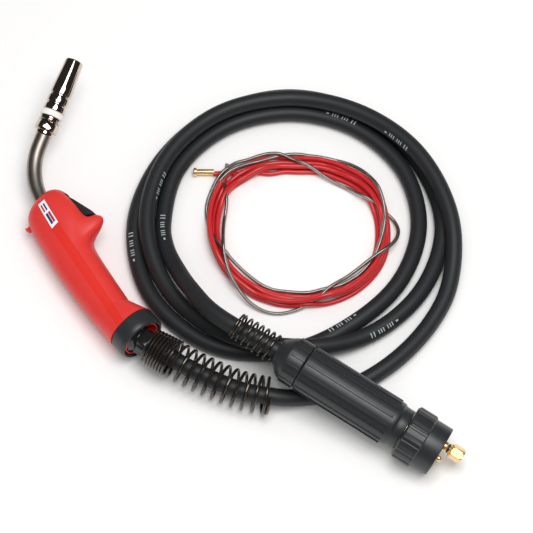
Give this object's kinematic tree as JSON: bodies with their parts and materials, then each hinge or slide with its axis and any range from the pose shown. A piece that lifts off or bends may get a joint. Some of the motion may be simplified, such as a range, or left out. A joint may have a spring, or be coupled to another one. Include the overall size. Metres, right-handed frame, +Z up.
{
  "type": "mig welding torch",
  "caption": "Gas-cooled MIG welding torch: moulded handle with trigger, swan neck and gas nozzle, coiled cable ending in a round central-adaptor plug, spare wire liner.",
  "frame": {"origin": "centre of the footprint of the handpiece (handle, neck and nozzle, without the cable, plug and liner), on the table it lies on", "axes": "+Z up from the table; +Y along the handpiece's length, from the cable end to the nozzle; +X to the right, towards the cable coil"},
  "size_m": [0.4148, 0.4197, 0.0689],
  "materials": {
    "red_plastic": "satin moulded nylon, fine grain",
    "black_plastic": "satin moulded nylon",
    "rubber": "matt extruded cable sheath",
    "chrome": "polished plating",
    "steel": "brushed along the neck",
    "spring_steel": "black oxide wire",
    "brass": "turned",
    "copper": "turned copper",
    "ceramic": "off-white insulating plastic",
    "red_sheath": "smooth coating over steel spiral"
  },
  "bodies": {
    "torch": {"handle_shell_upper": "red_plastic", "handle_shell_lower": "red_plastic", "handle_screw_1": "steel", "handle_screw_2": "steel", "handle_screw_3": "steel", "hanging_hook": "red_plastic", "trigger_pin": "steel", "microswitch": "black_plastic", "swan_neck": "steel", "neck_insulation": "black_plastic", "neck_conductor": "copper", "neck_nut": "chrome", "nozzle_seat": "chrome", "nozzle_insulator": "ceramic", "gas_diffuser": "brass", "nozzle_spring": "spring_steel", "tip_holder": "copper", "cable_support": "black_plastic", "cable_coil": "rubber", "cable_handle_end": "rubber", "cable_plug_end": "rubber", "handle_spring": "spring_steel", "cable_terminal": "brass", "plug_spring": "spring_steel", "plug_rear_nut": "black_plastic", "plug_housing": "black_plastic", "plug_terminal": "brass", "plug_body": "brass", "plug_screw": "steel", "plug_pin": "brass", "pin_seal": "rubber"},
    "trigger": {"trigger": "black_plastic"},
    "plunger": {"switch_plunger": "red_plastic"},
    "nozzle": {"gas_nozzle": "chrome"},
    "tip": {"contact_tip": "copper"},
    "ring": {"handle_ring": "black_plastic"},
    "euro_nut": {"euro_nut": "black_plastic"},
    "liner_nut": {"liner_nut": "brass"},
    "contact_1": {"contact_pin_1": "brass"},
    "contact_2": {"contact_pin_2": "brass"},
    "liner": {"liner_coil": "red_sheath", "liner_spiral_coil": "steel", "liner_lead": "red_sheath", "liner_collet": "brass"}
  },
  "joints": [
    {"name": "trigger_squeeze", "type": "hinge", "parent": "torch", "child": "trigger", "pos_m": [-0.02695, 0.00766, 0.0287], "axis": [0.2737, 0.1764, -0.9455], "range_deg": [0, 6], "stiffness_Nm_per_rad": 0.6, "springref_deg": -8.59},
    {"name": "plunger_travel", "type": "slide", "parent": "torch", "child": "plunger", "axis": [-0.7948, -0.5122, -0.3256], "range_m": [0, 0.0021]},
    {"name": "nozzle_pull", "type": "slide", "parent": "torch", "child": "nozzle", "axis": [0.356, 0.8947, 0.2699], "range_m": [0, 0.06]},
    {"name": "tip_pull", "type": "slide", "parent": "torch", "child": "tip", "axis": [0.356, 0.8947, 0.2699], "range_m": [0, 0.03]},
    {"name": "ring_turn", "type": "hinge", "parent": "torch", "child": "ring", "pos_m": [0.03991, -0.12437, 0.02343], "axis": [0.647, -0.7611, 0.0453], "range_deg": [0, 90]},
    {"name": "euro_nut_turn", "type": "hinge", "parent": "torch", "child": "euro_nut", "pos_m": [0.2967, -0.2345, 0.0271], "axis": [0.8451, -0.5132, -0.1495], "continuous": true},
    {"name": "liner_nut_turn", "type": "hinge", "parent": "torch", "child": "liner_nut", "pos_m": [0.33168, -0.24813, 0.02413], "axis": [0.8451, -0.5132, -0.1495], "continuous": true},
    {"name": "contact_1_push", "type": "slide", "parent": "torch", "child": "contact_1", "axis": [-0.8451, 0.5132, 0.1495], "range_m": [0, 0.003], "stiffness_N_per_m": 400, "springref_m": -0.002},
    {"name": "contact_2_push", "type": "slide", "parent": "torch", "child": "contact_2", "axis": [-0.8451, 0.5132, 0.1495], "range_m": [0, 0.003], "stiffness_N_per_m": 400, "springref_m": -0.002},
    {"name": "liner_lift", "type": "slide", "parent": "torch", "child": "liner", "axis": [0, 0, 1], "range_m": [0, 0.15]}
  ],
  "couplings": [
    {"joint": "plunger_travel", "follows": "trigger_squeeze", "m_per_rad": 0.019}
  ]
}
